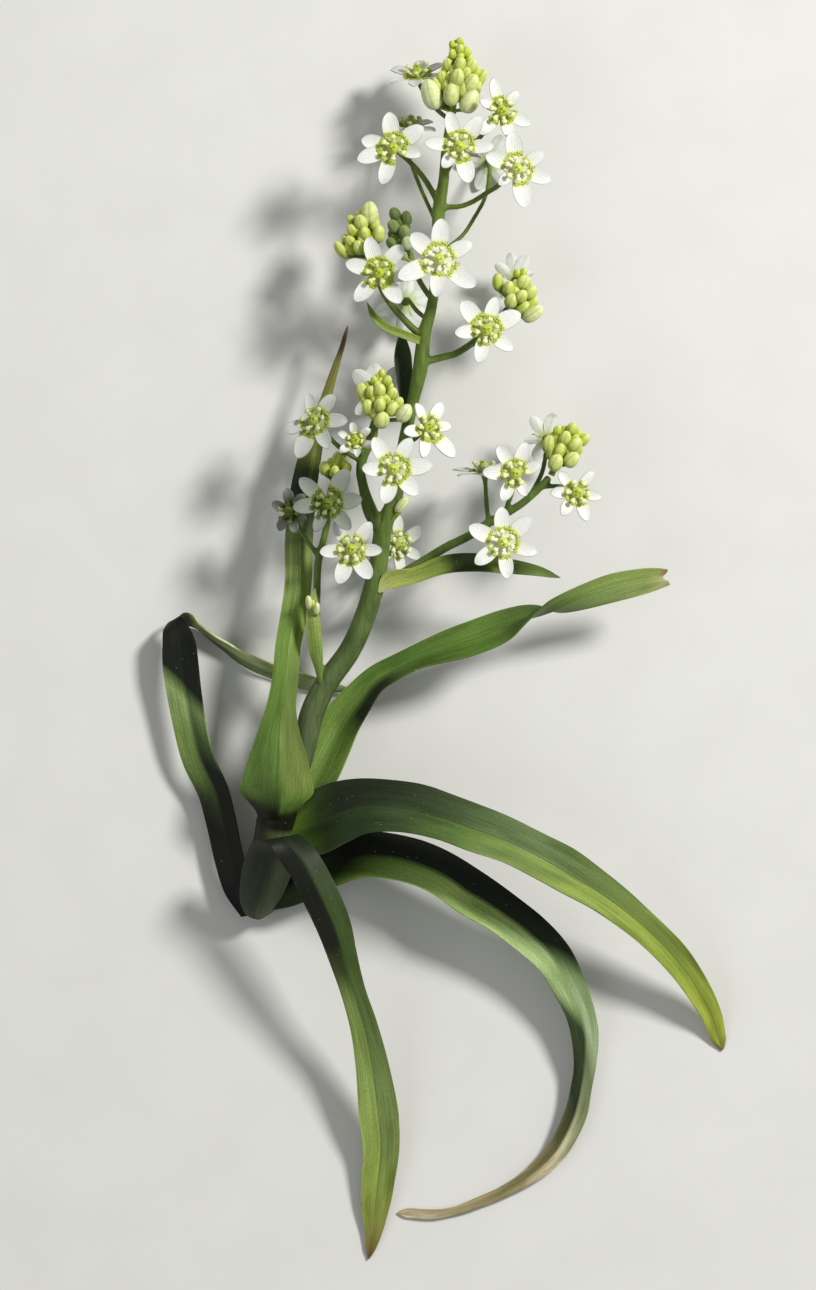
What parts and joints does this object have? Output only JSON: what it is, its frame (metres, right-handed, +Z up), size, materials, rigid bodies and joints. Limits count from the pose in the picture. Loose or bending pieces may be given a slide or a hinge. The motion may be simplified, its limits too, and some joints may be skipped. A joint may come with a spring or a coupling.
{
  "type": "fremonts star lily",
  "caption": "Cut star lily plant lying down: strap leaves from one sheathed neck and a branched stalk of white six-tepal stars and green buds.",
  "frame": {"origin": "middle of the plant's outline on the surface that it lies on", "axes": "+Y the way the flower stalk points, +Z up from the surface, +X to the right seen from above"},
  "size_m": [0.1813, 0.3923, 0.0474],
  "materials": {
    "stalk": "satin",
    "sheath": "satin",
    "leaf": "satin",
    "dark_leaf": "satin",
    "pale_leaf": "satin",
    "tepal": "matt",
    "bud": "satin",
    "dark_bud": "satin"
  },
  "bodies": {
    "root": {"flower_stalk": "stalk", "leaf_sheath_neck": "sheath", "leaf_left_folded": "dark_leaf", "leaf_upright": "leaf", "leaf_right_twisted": "pale_leaf", "leaf_long_arching": "leaf", "leaf_curled_dry_end": "dark_leaf", "leaf_front_hanging": "leaf", "bract_lower_left": "pale_leaf", "bract_right": "leaf", "bract_mid_left": "leaf", "bract_behind": "dark_leaf", "tepals_crown_middle": "tepal", "tepals_mid_right": "tepal", "tepals_mid_left": "tepal", "tepals_upper_left": "tepal", "tepals_upper_middle": "tepal", "tepals_upper_right": "tepal", "tepals_top_right": "tepal", "tepals_lower_middle": "tepal", "tepals_left_high": "tepal", "tepals_left_low": "tepal", "tepals_left_edge": "tepal", "tepals_low_left_of_stem": "tepal", "tepals_right_inner": "tepal", "tepals_right_outer": "tepal", "tepals_right_low": "tepal", "tepals_right_of_stem": "tepal", "tepals_small_cup": "tepal", "tepals_facing_up_right": "tepal", "tepals_top_left": "tepal", "tepals_behind_upper_left": "tepal", "tepals_behind_upper_right": "tepal", "tepals_behind_mid_left": "tepal", "tepals_behind_mid_right": "tepal", "tepals_behind_left_head": "tepal", "tepals_behind_stem": "tepal", "tepals_behind_right_head": "tepal", "buds_top": "bud", "buds_mid_left": "bud", "buds_dark": "dark_bud", "buds_mid_right": "bud", "buds_left": "bud", "buds_small_left": "bud", "bud_by_stem": "bud", "buds_right": "bud"}
  },
  "joints": []
}
